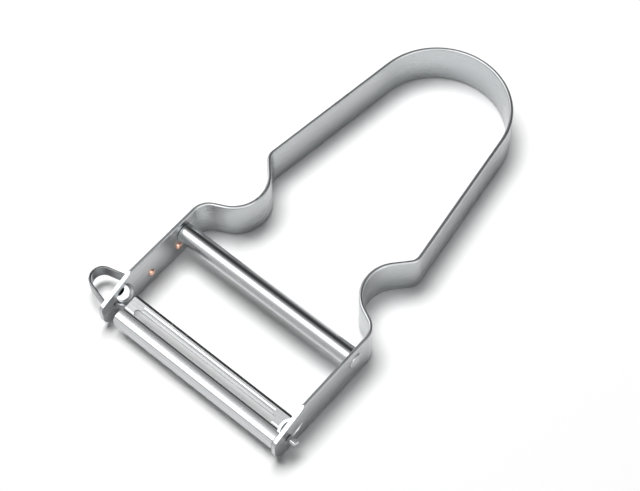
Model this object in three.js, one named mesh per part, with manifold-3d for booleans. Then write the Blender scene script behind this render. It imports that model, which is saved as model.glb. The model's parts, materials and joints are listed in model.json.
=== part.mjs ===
// Vegetable peeler: a bent strip handle, a cross tube, a swivelling slotted blade and a riveted eye loop.
// Millimetres, +Z up. The peeler lies on the lower edge of its handle strip, with the blade towards -Y
// and the bow towards +Y.
// While a piece is shaped, X = 0 is the plane between the arms, Y = 0 is the blade's swivel axis
// and Z = 0 is the surface that the strip rests on. The last group moves the whole to its origin.
import * as THREE from 'three';
import { mergeVertices } from 'three/addons/utils/BufferGeometryUtils.js';
import Module from 'manifold-3d';

// Handle strip
const STRIP_WIDTH = 12.5;
const STRIP_THICKNESS = 1.0;
const STRIP_EDGE = 0.2;
const ARM_SPACING = 54.26;
const ARM_BEND_Y = 31.58;
const ARM_BEND_RADIUS = 4.94;
const NOTCH_GAP = 22.8;
const NOTCH_Y = 39.09;
const NOTCH_RADIUS = 8.75;
const SHOULDER_GAP = 46.8;
const SHOULDER_Y = 52.18;
const SHOULDER_RADIUS = 3.03;
const BOW_RADIUS = 18.26;
const BOW_CENTRE_Y = 89.85;

// Arm tips
const TIP_REACH = 4.65;
const TIP_TAPER_LENGTH = 8.85;
const TIP_TAPER_START = 6.15;
const TIP_TAPER_DROP = 2.9;
const TIP_UPPER_RADIUS = 1.9;
const TIP_LOWER_RADIUS = 4.3;

// Pressed bearing hood on the inside of each arm: sheared free along its upper edge and pushed inwards
const HOOD_LENGTH = 5.2;
const HOOD_DEPTH = 4.0;
const HOOD_HEIGHT = 1.25;
const HOOD_WALL = 0.7;
const HOOD_ROOT = 0.1;
const HOOD_SHEAR_GAP = 0.15;
const HOOD_BEHIND_AXIS = 1.7;
const HOOD_ABOVE_MIDDLE = 2.1;
const HOOD_TILT = THREE.MathUtils.degToRad(25);

// Swivel axis, from the middle of the strip's width
const AXIS_BELOW_MIDDLE = 0.25;
const PIVOT_HOLE_CLEARANCE = 0.18;

// Blade: one sheet with a slot, a flat cutting band behind it and a rolled guide in front of it.
// It has play between the hoods and lies towards the arm at +X.
const BLADE_SHEET = 0.65;
const BLADE_END_CLEARANCE = 0.23;
const BLADE_SHIFT = 0.7;
const END_NOTCH = 0.5;
const END_NOTCH_FRONT = -1.1;
const BLADE_REAR = 4.0;
const BAND_RISE = 1.07;
const BAND_STEP_Y = 1.6;
const BAND_STEP_RADIUS = 0.8;
const SLOT_REAR = 1.75;
const SLOT_FRONT = -0.05;
const SLOT_END_MARGIN = 2.45;
const GRIND_WIDTH = 0.9;
const GRIND_DEPTH = 0.5;
const GRIND_END_MARGIN = 3.75;
const GUIDE_DIP = [0, 0.1];
const GUIDE_DIP_RADIUS = 0.8;
const GUIDE_CREST = [-1.45, 0.82];
const GUIDE_CREST_RADIUS = 0.9;
const GUIDE_BROW = [-2.7, -0.1];
const GUIDE_BROW_RADIUS = 1.2;
const GUIDE_LIP = [-3.45, -2.35];
const REAR_CORNER = 0.7;
const LIP_CORNER = 1.0;

// Blade tabs: narrow necks through the arms with upset heads outside
const TAB_WIDTH = 1.5;
const TAB_HEAD_WIDTH = 1.9;
const TAB_HEAD_HEIGHT = 1.7;
const TAB_HEAD_CORNER = 0.2;
const TAB_NECK = 1.2;
const TAB_REACH = 2.8;
const LOOP_TAB_NECK = 0.25;
const LOOP_TAB_REACH = 0.85;

// Cross tube and the rivet through it
const TUBE_DIAMETER = 5.0;
const TUBE_WALL = 0.8;
const TUBE_Y = 24.21;
const TUBE_ABOVE_MIDDLE = 1.78;
const TUBE_END_GAP = 0.05;
const TUBE_CHAMFER = 0.25;
const LONG_RIVET_DIAMETER = 3.0;
const LONG_RIVET_HEAD = 4.3;
const LONG_RIVET_DOME = 0.45;
const RIVET_HOLE_CLEARANCE = 0.1;

// Eye loop: a narrow strip riveted along the outside of the arm at -X and bent out into a loop
const LOOP_HEIGHT = 3.85;
const LOOP_THICKNESS = 0.6;
const LOOP_BELOW_MIDDLE = 1.75;
const LOOP_REAR_Y = 7.35;
const LOOP_FRONT_Y = -1.95;
const LOOP_REACH = 9.6;
const LOOP_NOSE_RADIUS = 3.3;
const LOOP_BEND_RADIUS = 1.2;
const LOOP_SEAT_GAP = 0.05;
const LOOP_TIP_GAP = 0.3;
const LOOP_HEAD_CLEARANCE = 0.2;

// Copper rivets that hold the eye loop
const SMALL_RIVET_DIAMETER = 1.3;
const SMALL_RIVET_HEAD = 2.0;
const SMALL_RIVET_DOME = 0.7;
const SMALL_RIVET_TAIL = 0.4;
const FRONT_RIVET_Y = 12.1;
const RIVET_SEAT_GAP = 0.03;

// Fineness of round shapes
const ARC_STEP = THREE.MathUtils.degToRad(7);
const LATHE_SIDES = 24;
const SPHERE_SIDES = 24;
const OVERCUT = 1;

// Places worked out from the sizes above
const MIDDLE_Z = STRIP_WIDTH / 2;
const ARM_X = ARM_SPACING / 2;
const ARM_INNER_X = ARM_X - STRIP_THICKNESS / 2;
const ARM_OUTER_X = ARM_X + STRIP_THICKNESS / 2;
const AXIS_Z = MIDDLE_Z - AXIS_BELOW_MIDDLE;
const TUBE_Z = MIDDLE_Z + TUBE_ABOVE_MIDDLE;
const LOOP_Z = MIDDLE_Z - LOOP_BELOW_MIDDLE;
const BAND_END_X = ARM_INNER_X - HOOD_HEIGHT - BLADE_END_CLEARANCE - BLADE_SHIFT;
const BLADE_END_X = BAND_END_X + END_NOTCH;
const LOOP_END_RADIUS = LOOP_HEIGHT / 2;
const REAR_RIVET_Y = TUBE_Y - footSetback();
const BOW_OUTER_Y = BOW_CENTRE_Y + BOW_RADIUS + STRIP_THICKNESS / 2;

const SIDES = [{ name: 'right', sign: 1 }, { name: 'left', sign: -1 }];
const AXES = [new THREE.Vector3(1, 0, 0), new THREE.Vector3(0, 1, 0), new THREE.Vector3(0, 0, 1)];

const wasm = await Module();
wasm.setup();

// How far in front of the tube's axis the loop's round end must stop to clear the long rivet's head.
function footSetback() {
  const apart = LONG_RIVET_HEAD / 2 + LOOP_END_RADIUS + LOOP_HEAD_CLEARANCE;
  const drop = TUBE_Z - LOOP_Z;
  return Math.sqrt(Math.max(0, apart * apart - drop * drop));
}

// A closed three.js geometry as a solid that can be joined and cut.
function toSolid(geometry) {
  const bare = new THREE.BufferGeometry();
  bare.setAttribute('position', geometry.getAttribute('position'));
  bare.setIndex(geometry.index);
  const merged = mergeVertices(bare, 1e-4);
  const triangles = [];
  for (let i = 0; i < merged.index.count; i += 3) {
    const corners = [0, 1, 2].map((k) => merged.index.getX(i + k));
    if (new Set(corners).size === 3) triangles.push(...corners);
  }
  return new wasm.Manifold(new wasm.Mesh({
    numProp: 3,
    vertProperties: Float32Array.from(merged.getAttribute('position').array),
    triVerts: Uint32Array.from(triangles),
  }));
}

function toGeometry(solid) {
  const mesh = solid.getMesh();
  const geometry = new THREE.BufferGeometry();
  geometry.setAttribute('position', new THREE.BufferAttribute(mesh.vertProperties, 3));
  geometry.setIndex(new THREE.BufferAttribute(mesh.triVerts, 1));
  geometry.computeVertexNormals();
  return geometry;
}

function namedMesh(name, solid, material) {
  const mesh = new THREE.Mesh(toGeometry(solid), material);
  mesh.name = name;
  return mesh;
}

// Points along a line of corners [x, y, radius], each corner rounded, with the unit normal to the left.
function roundedPath(corners) {
  const points = corners.map(([x, y]) => new THREE.Vector2(x, y));
  const leftOf = (direction) => new THREE.Vector2(-direction.y, direction.x);
  const path = [];
  corners.forEach(([, , radius = 0], i) => {
    const last = points.length - 1;
    const towards = (k) => points[k + 1].clone().sub(points[k]).normalize();
    const start = towards(Math.max(i - 1, 0));
    const end = towards(Math.min(i, last - 1));
    const turn = Math.atan2(start.cross(end), start.dot(end));
    if (!radius || !turn) {
      path.push({ at: points[i], normal: leftOf(start) });
      return;
    }
    const setback = radius * Math.tan(Math.abs(turn) / 2);
    const centre = points[i].clone().addScaledVector(start, -setback);
    centre.addScaledVector(leftOf(start), Math.sign(turn) * radius);
    const steps = Math.max(2, Math.ceil(Math.abs(turn) / ARC_STEP));
    for (let k = 0; k <= steps; k += 1) {
      const normal = leftOf(start).rotateAround(new THREE.Vector2(), (turn * k) / steps);
      path.push({ at: centre.clone().addScaledVector(normal, -Math.sign(turn) * radius), normal });
    }
  });
  return path;
}

// The outline of a strip of even thickness that follows a path, seen on its edge.
function ribbonShape(path, thickness) {
  const offset = (side) => ({ at, normal }) => at.clone().addScaledVector(normal, (side * thickness) / 2);
  return new THREE.Shape([...path.map(offset(-1)), ...path.map(offset(1)).reverse()]);
}

// A plan outline raised along Z from a height, with optional chamfered edges.
function raised(shape, fromZ, height, edge = 0) {
  const geometry = new THREE.ExtrudeGeometry(shape, {
    depth: height - 2 * edge,
    bevelEnabled: edge > 0,
    bevelThickness: edge,
    bevelSize: edge,
    bevelOffset: -edge,
    bevelSegments: 1,
  });
  return toSolid(geometry.translate(0, 0, fromZ + edge));
}

// An outline drawn in Y and Z, run along X.
function alongX(shape, fromX, toX) {
  const geometry = new THREE.ExtrudeGeometry(shape, { depth: toX - fromX, bevelEnabled: false });
  geometry.applyMatrix4(new THREE.Matrix4().makeBasis(AXES[1], AXES[2], AXES[0]));
  return toSolid(geometry.translate(fromX, 0, 0));
}

// A profile of [radius, x] points turned about a line along X.
function turned(profile, y, z, closed = false) {
  const points = profile.map(([radius, x]) => new THREE.Vector2(radius, x));
  if (closed) points.push(points[0].clone());
  const geometry = new THREE.LatheGeometry(points, LATHE_SIDES);
  return toSolid(geometry.rotateZ(-Math.PI / 2).translate(0, y, z));
}

function polygon(points) {
  return new THREE.Shape(points.map(([x, y]) => new THREE.Vector2(x, y)));
}

function roundBar(diameter, fromX, toX, y, z) {
  return turned([[0, fromX], [diameter / 2, fromX], [diameter / 2, toX], [0, toX]], y, z);
}

// How far past their ends two lines that lean together meet, when a round nose of this radius,
// centred at this reach, is tangent to both. The lines start half the width apart from the middle.
function noseApex(halfWidth, reach, radius) {
  const lean = Math.acos(radius / Math.hypot(halfWidth, reach)) - Math.atan2(reach, halfWidth);
  return halfWidth / Math.tan(lean);
}

function handlePath() {
  const apexY = SHOULDER_Y + noseApex(SHOULDER_GAP / 2, BOW_CENTRE_Y - SHOULDER_Y, BOW_RADIUS);
  const half = [
    [ARM_X, -TIP_REACH - OVERCUT],
    [ARM_X, ARM_BEND_Y, ARM_BEND_RADIUS],
    [NOTCH_GAP / 2, NOTCH_Y, NOTCH_RADIUS],
    [SHOULDER_GAP / 2, SHOULDER_Y, SHOULDER_RADIUS],
  ];
  const mirrored = half.map(([x, ...rest]) => [-x, ...rest]).reverse();
  return roundedPath([...half, [0, apexY, BOW_RADIUS], ...mirrored]);
}

// Side view of the whole handle: the arms' tips are sheared to a taper above and rounded below.
function sideOutline() {
  const slope = TIP_TAPER_DROP / TIP_TAPER_LENGTH;
  const topZ = STRIP_WIDTH + OVERCUT;
  const taperZ = (y) => STRIP_WIDTH - (TIP_TAPER_START - y) * slope;
  const farY = BOW_OUTER_Y + OVERCUT;
  const path = roundedPath([
    [TIP_TAPER_START + OVERCUT / slope, topZ],
    [-TIP_REACH, taperZ(-TIP_REACH), TIP_UPPER_RADIUS],
    [-TIP_REACH, 0, TIP_LOWER_RADIUS],
    [0, 0],
  ]);
  const rest = [[OVERCUT, -OVERCUT], [farY, -OVERCUT], [farY, topZ]];
  return polygon([...path.map(({ at }) => [at.x, at.y]), ...rest]);
}

// The pressed hood of one arm as its outside and its hollow, both cut off flat at the sheared edge.
// Each rounded form is centred a little behind the face that it comes out of.
function hood(sign) {
  const form = (faceX, height, length, depth) => {
    const ball = new THREE.SphereGeometry(1, SPHERE_SIDES, SPHERE_SIDES / 2);
    return ball.scale(height + HOOD_ROOT, length / 2, depth).translate(sign * (faceX + HOOD_ROOT), 0, 0);
  };
  const below = (topZ, fromX, toX) => {
    const block = new THREE.BoxGeometry(toX - fromX, 2 * HOOD_LENGTH, 2 * HOOD_DEPTH);
    return block.translate((sign * (fromX + toX)) / 2, 0, topZ - HOOD_DEPTH);
  };
  const placed = (geometry) => {
    geometry.rotateX(HOOD_TILT).translate(0, HOOD_BEHIND_AXIS, MIDDLE_Z + HOOD_ABOVE_MIDDLE);
    return toSolid(geometry);
  };
  const innerX = ARM_INNER_X - HOOD_HEIGHT - OVERCUT;
  const outerX = ARM_OUTER_X + HOOD_HEIGHT + STRIP_THICKNESS;
  const outside = placed(form(ARM_INNER_X, HOOD_HEIGHT, HOOD_LENGTH, HOOD_DEPTH));
  const hollow = placed(form(
    ARM_OUTER_X,
    HOOD_HEIGHT + STRIP_THICKNESS - HOOD_WALL,
    HOOD_LENGTH - HOOD_WALL,
    HOOD_DEPTH - HOOD_WALL / 2,
  ));
  return {
    outside: outside.intersect(placed(below(0, innerX, ARM_X))),
    hollow: hollow.intersect(placed(below(HOOD_SHEAR_GAP, innerX, outerX))),
  };
}

function pivotHoleDiameter() {
  return Math.hypot(TAB_WIDTH, BLADE_SHEET) + 2 * PIVOT_HOLE_CLEARANCE;
}

function handleBow() {
  let solid = raised(ribbonShape(handlePath(), STRIP_THICKNESS), 0, STRIP_WIDTH, STRIP_EDGE);
  const outerX = ARM_OUTER_X + OVERCUT;
  solid = solid.intersect(alongX(sideOutline(), -outerX, outerX));
  for (const { sign } of SIDES) {
    const { outside, hollow } = hood(sign);
    solid = solid.add(outside).subtract(hollow);
  }
  const holes = [
    roundBar(pivotHoleDiameter(), -outerX, outerX, 0, AXIS_Z),
    roundBar(LONG_RIVET_DIAMETER + 2 * RIVET_HOLE_CLEARANCE, -outerX, outerX, TUBE_Y, TUBE_Z),
    ...[FRONT_RIVET_Y, REAR_RIVET_Y].map((y) => smallRivetHole(y)),
  ];
  return holes.reduce((body, hole) => body.subtract(hole), solid);
}

function smallRivetHole(y) {
  const diameter = SMALL_RIVET_DIAMETER + 2 * RIVET_HOLE_CLEARANCE;
  return roundBar(diameter, -ARM_OUTER_X - LOOP_THICKNESS - OVERCUT, -ARM_INNER_X + OVERCUT, y, LOOP_Z);
}

function spacerTube() {
  const outer = TUBE_DIAMETER / 2;
  const inner = outer - TUBE_WALL;
  const end = ARM_INNER_X - TUBE_END_GAP;
  const half = (sign) => [
    [inner, sign * end],
    [outer - TUBE_CHAMFER, sign * end],
    [outer, sign * (end - TUBE_CHAMFER)],
  ];
  return turned([...half(-1), ...half(1).reverse()], TUBE_Y, TUBE_Z, true);
}

function spacerRivet() {
  const shank = LONG_RIVET_DIAMETER / 2;
  const head = LONG_RIVET_HEAD / 2;
  const seat = ARM_OUTER_X + RIVET_SEAT_GAP;
  const half = (sign) => [
    [0, sign * (seat + LONG_RIVET_DOME)],
    [head * 0.5, sign * (seat + LONG_RIVET_DOME * 0.85)],
    [head * 0.85, sign * (seat + LONG_RIVET_DOME * 0.5)],
    [head, sign * (seat + LONG_RIVET_DOME * 0.1)],
    [head, sign * seat],
    [shank, sign * seat],
  ];
  return turned([...half(-1), ...half(1).reverse()], TUBE_Y, TUBE_Z);
}

function bladeSection() {
  return ribbonShape(roundedPath([
    [BLADE_REAR, BAND_RISE],
    [BAND_STEP_Y, BAND_RISE, BAND_STEP_RADIUS],
    [...GUIDE_DIP, GUIDE_DIP_RADIUS],
    [...GUIDE_CREST, GUIDE_CREST_RADIUS],
    [...GUIDE_BROW, GUIDE_BROW_RADIUS],
    GUIDE_LIP,
  ]), BLADE_SHEET);
}

function bladeSlot() {
  const endX = BAND_END_X - SLOT_END_MARGIN;
  const radius = (SLOT_REAR - SLOT_FRONT) / 2;
  const path = roundedPath([
    [0, SLOT_FRONT],
    [endX, SLOT_FRONT, radius],
    [endX, SLOT_REAR, radius],
    [0, SLOT_REAR],
  ]);
  const half = path.map(({ at }) => [at.x, at.y]);
  const mirrored = half.slice(1, -1).map(([x, y]) => [-x, y]).reverse();
  return raised(polygon([...half, ...mirrored]), GUIDE_LIP[1], BAND_RISE - GUIDE_LIP[1] + OVERCUT);
}

// The ground face that thins the rear band down to the slot.
function bladeGrind() {
  const topZ = BAND_RISE + BLADE_SHEET / 2;
  const startY = SLOT_REAR + GRIND_WIDTH;
  const endX = BAND_END_X - GRIND_END_MARGIN;
  const below = topZ - GRIND_DEPTH;
  return alongX(polygon([
    [startY, topZ],
    [startY, topZ + OVERCUT],
    [SLOT_FRONT, topZ + OVERCUT],
    [SLOT_FRONT, below],
    [SLOT_REAR, below],
  ]), -endX, endX);
}

// Blocks that cut the ends back behind the guide, so that the band clears the hoods.
function bladeEndNotches() {
  const length = BLADE_REAR - END_NOTCH_FRONT + OVERCUT;
  const height = BAND_RISE - GUIDE_LIP[1] + OVERCUT;
  return SIDES.map(({ sign }) => {
    const block = new THREE.BoxGeometry(2 * END_NOTCH, length, 2 * height);
    return toSolid(block.translate(sign * (BAND_END_X + END_NOTCH), END_NOTCH_FRONT + length / 2, 0));
  });
}

// Wedges that cut the sheet's four corners off, as seen from above at the rear and from the front below.
function bladeCorners() {
  const wedges = [];
  for (const { sign } of SIDES) {
    const bandEnd = sign * BAND_END_X;
    const rear = polygon([
      [bandEnd + sign * OVERCUT, BLADE_REAR - REAR_CORNER - OVERCUT],
      [bandEnd + sign * OVERCUT, BLADE_REAR + OVERCUT],
      [bandEnd - sign * (REAR_CORNER + OVERCUT), BLADE_REAR + OVERCUT],
    ]);
    wedges.push(raised(rear, 0, BAND_RISE + BLADE_SHEET));
    const guideEnd = sign * BLADE_END_X;
    const lip = polygon([
      [guideEnd + sign * OVERCUT, GUIDE_LIP[1] + LIP_CORNER + OVERCUT],
      [guideEnd + sign * OVERCUT, GUIDE_LIP[1] - OVERCUT],
      [guideEnd - sign * (LIP_CORNER + OVERCUT), GUIDE_LIP[1] - OVERCUT],
    ]);
    const depth = BLADE_REAR - GUIDE_LIP[0];
    const geometry = new THREE.ExtrudeGeometry(lip, { depth, bevelEnabled: false });
    geometry.rotateX(Math.PI / 2).translate(0, GUIDE_BROW[1] - OVERCUT, 0);
    wedges.push(toSolid(geometry));
  }
  return wedges;
}

// One tab: a flat neck through the arm with an upset head outside it.
function bladeTab(sign, neck, reach) {
  const root = BAND_END_X - TAB_WIDTH / 2;
  const face = ARM_OUTER_X - sign * BLADE_SHIFT;
  const [headStart, headEnd] = [face + neck, face + reach];
  const run = (shape, from, to) => alongX(shape, ...(sign > 0 ? [from, to] : [-to, -from]));
  const flat = roundedRectangle(TAB_WIDTH, BLADE_SHEET);
  const head = roundedRectangle(TAB_HEAD_WIDTH, TAB_HEAD_HEIGHT, TAB_HEAD_CORNER);
  return run(flat, root, headEnd).add(run(head, headStart, headEnd));
}

function roundedRectangle(width, height, corner = 0) {
  const [w, h] = [width / 2, height / 2];
  if (!corner) return polygon([[-w, -h], [w, -h], [w, h], [-w, h]]);
  return polygon([
    [-w + corner, -h], [w - corner, -h], [w, -h + corner], [w, h - corner],
    [w - corner, h], [-w + corner, h], [-w, h - corner], [-w, -h + corner],
  ]);
}

function blade() {
  const cuts = [bladeSlot(), bladeGrind(), ...bladeEndNotches(), ...bladeCorners()];
  const sheet = alongX(bladeSection(), -BLADE_END_X, BLADE_END_X);
  const shaped = cuts.reduce((body, cut) => body.subtract(cut), sheet);
  return shaped.add(bladeTab(1, TAB_NECK, TAB_REACH)).add(bladeTab(-1, LOOP_TAB_NECK, LOOP_TAB_REACH));
}

// The loop in plan: a foot along the arm, a leg out to the round nose and a leg back to the arm's tip.
function loopPath() {
  const footX = -ARM_OUTER_X - LOOP_SEAT_GAP - LOOP_THICKNESS / 2;
  const noseRadius = LOOP_NOSE_RADIUS - LOOP_THICKNESS / 2;
  const noseReach = LOOP_REACH - LOOP_NOSE_RADIUS - LOOP_SEAT_GAP - LOOP_THICKNESS / 2;
  const halfWidth = (LOOP_REAR_Y - LOOP_FRONT_Y) / 2;
  const apex = noseApex(halfWidth, noseReach, noseRadius);
  const middleY = LOOP_FRONT_Y + halfWidth;
  const tipX = -ARM_OUTER_X - LOOP_TIP_GAP;
  const tipY = LOOP_FRONT_Y - ((tipX - footX) * halfWidth) / apex;
  return roundedPath([
    [footX, REAR_RIVET_Y + LOOP_END_RADIUS],
    [footX, LOOP_REAR_Y, LOOP_BEND_RADIUS],
    [footX - apex, middleY, noseRadius],
    [tipX, tipY],
  ]);
}

function eyeLoop() {
  const strip = raised(ribbonShape(loopPath(), LOOP_THICKNESS), LOOP_Z - LOOP_HEIGHT / 2, LOOP_HEIGHT);
  const frontY = LOOP_FRONT_Y - LOOP_REACH;
  const end = REAR_RIVET_Y + LOOP_END_RADIUS;
  const [low, high] = [LOOP_Z - LOOP_END_RADIUS, LOOP_Z + LOOP_END_RADIUS];
  const outline = roundedPath([
    [frontY, low],
    [end, low, LOOP_END_RADIUS],
    [end, high, LOOP_END_RADIUS],
    [frontY, high],
  ]);
  const envelope = alongX(
    polygon(outline.map(({ at }) => [at.x, at.y])),
    -ARM_OUTER_X - LOOP_REACH - OVERCUT,
    -ARM_INNER_X,
  );
  const holes = [FRONT_RIVET_Y, REAR_RIVET_Y].map((y) => smallRivetHole(y));
  return holes.reduce((body, hole) => body.subtract(hole), strip.intersect(envelope));
}

// A rivet with a domed head inside the arm and a flat tail on the loop's foot.
function smallRivet(y) {
  const shank = SMALL_RIVET_DIAMETER / 2;
  const head = SMALL_RIVET_HEAD / 2;
  const tailX = -ARM_OUTER_X - LOOP_SEAT_GAP - LOOP_THICKNESS - RIVET_SEAT_GAP;
  const headX = -ARM_INNER_X + RIVET_SEAT_GAP;
  return turned([
    [0, tailX - SMALL_RIVET_TAIL],
    [head * 0.8, tailX - SMALL_RIVET_TAIL],
    [head, tailX - SMALL_RIVET_TAIL * 0.5],
    [head, tailX],
    [shank, tailX],
    [shank, headX],
    [head, headX],
    [head * 0.87, headX + SMALL_RIVET_DOME * 0.5],
    [head * 0.5, headX + SMALL_RIVET_DOME * 0.87],
    [0, headX + SMALL_RIVET_DOME],
  ], y, LOOP_Z);
}

function metal(color, roughness) {
  return new THREE.MeshStandardMaterial({ color, roughness, metalness: 1 });
}

const ALUMINIUM = metal(0xb4b8ba, 0.42);
const POLISHED_STEEL = metal(0xc9cccd, 0.14);
const BLADE_STEEL = metal(0xd0d3d4, 0.22);
const LOOP_STEEL = metal(0x8d9192, 0.3);
const COPPER = metal(0xb87458, 0.32);

const bow = new THREE.Group();
bow.add(namedMesh('handle_bow', handleBow(), ALUMINIUM));

const crossTube = new THREE.Group();
crossTube.add(namedMesh('spacer_tube', spacerTube(), POLISHED_STEEL));
crossTube.add(namedMesh('spacer_rivet', spacerRivet(), ALUMINIUM));

const swivel = new THREE.Group();
swivel.position.set(BLADE_SHIFT, 0, AXIS_Z);
swivel.add(namedMesh('blade', blade(), BLADE_STEEL));

const eyeCutter = new THREE.Group();
eyeCutter.add(namedMesh('eye_loop', eyeLoop(), LOOP_STEEL));
eyeCutter.add(namedMesh('loop_rivet_front', smallRivet(FRONT_RIVET_Y), COPPER));
eyeCutter.add(namedMesh('loop_rivet_rear', smallRivet(REAR_RIVET_Y), COPPER));

// The origin lies under the middle of the box around the peeler.
const lowX = -ARM_OUTER_X - LOOP_REACH;
const highX = ARM_OUTER_X + TAB_REACH;
const peeler = new THREE.Group();
peeler.add(bow, crossTube, swivel, eyeCutter);
peeler.position.set(-(lowX + highX) / 2, -(BOW_OUTER_Y - TIP_REACH) / 2, 0);

export default peeler;
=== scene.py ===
"""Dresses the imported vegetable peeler: finely shaped metal pieces, finishes, soft light and a camera."""

import json
import logging
import math
from collections.abc import Callable, Iterable, Sequence
from dataclasses import dataclass, field
from enum import Enum
from typing import Any

import bpy
from mathutils import Euler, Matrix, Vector

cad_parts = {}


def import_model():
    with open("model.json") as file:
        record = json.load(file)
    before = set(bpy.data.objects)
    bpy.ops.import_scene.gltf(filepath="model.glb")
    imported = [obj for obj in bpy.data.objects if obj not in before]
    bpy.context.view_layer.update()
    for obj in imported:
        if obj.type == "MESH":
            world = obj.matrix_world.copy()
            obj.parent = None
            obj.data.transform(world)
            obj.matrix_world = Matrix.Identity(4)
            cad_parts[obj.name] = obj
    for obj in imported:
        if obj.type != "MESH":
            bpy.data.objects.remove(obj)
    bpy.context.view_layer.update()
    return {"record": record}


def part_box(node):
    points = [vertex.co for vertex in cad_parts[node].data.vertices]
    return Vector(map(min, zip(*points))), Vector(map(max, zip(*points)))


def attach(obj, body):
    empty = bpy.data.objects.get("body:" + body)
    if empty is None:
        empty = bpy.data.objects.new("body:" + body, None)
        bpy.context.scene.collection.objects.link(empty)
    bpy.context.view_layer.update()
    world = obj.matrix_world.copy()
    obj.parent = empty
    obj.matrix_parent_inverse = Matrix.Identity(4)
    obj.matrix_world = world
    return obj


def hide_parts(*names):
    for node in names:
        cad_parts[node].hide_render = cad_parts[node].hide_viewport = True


LOG = logging.getLogger("peeler")
MM = 0.001
HANDLE_BODY = "handle"
BLADE_BODY = "blade"
Triple = tuple[float, float, float]


class Slot(Enum):
    """The record's material slots."""

    STRIP = "strip_aluminium"
    TUBE = "tube_steel"
    BLADE = "blade_steel"
    LOOP = "loop_steel"
    RIVET = "rivet_copper"


class Side(Enum):
    """The two arms, by the sign of their X."""

    PLAIN = 1
    LOOP = -1


class Reach(Enum):
    """What a lamp is for: shadows on the floor, or its reflection in the metal."""

    FLOOR = "floor"
    METAL = "metal"


class Join(Enum):
    """What one solid does to another."""

    ADD = "UNION"
    CUT = "DIFFERENCE"


class Signal:
    """A shader socket that takes part in Python expressions on single values."""

    def __init__(self, graph: "Graph", socket: bpy.types.NodeSocket) -> None:
        """Keeps the socket and the graph it belongs to."""
        self.graph = graph
        self.socket = socket

    def _math(self, operation: str, first: Any, second: Any) -> "Signal":
        """Adds one Math node.

        Args:
            operation: the node's operation.
            first: its first value or signal.
            second: its second value or signal.

        Returns:
            The node's result.
        """
        return self.graph.node("ShaderNodeMath", {"operation": operation}, {0: first, 1: second})

    def __add__(self, other: Any) -> "Signal":
        """Sum."""
        return self._math("ADD", self, other)

    def __radd__(self, other: Any) -> "Signal":
        """Sum with a plain number first."""
        return self._math("ADD", other, self)

    def __sub__(self, other: Any) -> "Signal":
        """Difference."""
        return self._math("SUBTRACT", self, other)

    def __rsub__(self, other: Any) -> "Signal":
        """Difference from a plain number."""
        return self._math("SUBTRACT", other, self)

    def __mul__(self, other: Any) -> "Signal":
        """Product."""
        return self._math("MULTIPLY", self, other)

    def __rmul__(self, other: Any) -> "Signal":
        """Product with a plain number first."""
        return self._math("MULTIPLY", other, self)

    def larger(self, other: Any) -> "Signal":
        """The larger of two values."""
        return self._math("MAXIMUM", self, other)


class Graph:
    """The node tree of one material or of the world."""

    def __init__(self, tree: bpy.types.NodeTree) -> None:
        """Takes a tree and empties it."""
        self.tree = tree
        tree.nodes.clear()

    def node(
        self,
        kind: str,
        settings: dict[str, Any] | None = None,
        inputs: dict[str | int, Any] | None = None,
        output: str | int = 0,
    ) -> Signal:
        """Adds a node, sets it up and links what feeds it.

        Args:
            kind: the node's type name.
            settings: properties of the node, set before its sockets; "stops" sets a ramp's stops.
            inputs: values or signals for its sockets, by name or number.
            output: the socket that is returned.

        Returns:
            The chosen output.
        """
        made = self.tree.nodes.new(kind)
        for key, value in (settings or {}).items():
            if key == "stops":
                self._stops(made.color_ramp, value)
            else:
                setattr(made, key, value)
        for key, value in (inputs or {}).items():
            if isinstance(value, Signal):
                self.tree.links.new(value.socket, made.inputs[key])
            else:
                made.inputs[key].default_value = value
        if not made.outputs:
            return Signal(self, made.inputs[0])
        return Signal(self, made.outputs[output])

    @staticmethod
    def _stops(ramp: bpy.types.ColorRamp, stops: Sequence[tuple[float, float]]) -> None:
        """Writes grey stops into a ramp.

        Args:
            ramp: the ramp.
            stops: position and grey level of each stop.
        """
        while len(ramp.elements) < len(stops):
            ramp.elements.new(1.0)
        for element, (position, grey) in zip(ramp.elements, stops):
            element.position = position
            element.color = (grey, grey, grey, 1.0)

    def place(self, scale: Triple) -> Signal:
        """Object coordinates, stretched for a pattern.

        Args:
            scale: how often the pattern repeats per metre along each axis.

        Returns:
            The stretched coordinates.
        """
        spot = self.node("ShaderNodeTexCoord", output="Object")
        return self.node("ShaderNodeMapping", inputs={"Vector": spot, "Scale": scale})

    def noise(self, scale: Triple, detail: float = 3.0) -> Signal:
        """Smooth noise on object coordinates.

        Args:
            scale: how fine it is along each axis, per metre.
            detail: how many finer layers it has.

        Returns:
            The noise, from about 0 to 1.
        """
        inputs = {"Vector": self.place(scale), "Scale": 1.0, "Detail": detail}
        return self.node("ShaderNodeTexNoise", inputs=inputs)

    def mix(self, amount: Signal, low: Sequence[float], high: Sequence[float]) -> Signal:
        """A colour between two colours.

        Args:
            amount: where between them, 0 to 1.
            low: the colour at 0.
            high: the colour at 1.

        Returns:
            The mixed colour.
        """
        inputs = {0: amount, 6: (*low, 1.0), 7: (*high, 1.0)}
        return self.node("ShaderNodeMix", {"data_type": "RGBA"}, inputs, output=2)

    def ramp(self, value: Signal, stops: Sequence[tuple[float, float]]) -> Signal:
        """A value sent through grey stops.

        Args:
            value: what is looked up.
            stops: position and grey level of each stop.

        Returns:
            The level found.
        """
        return self.node("ShaderNodeValToRGB", {"stops": stops}, {"Fac": value})


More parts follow.
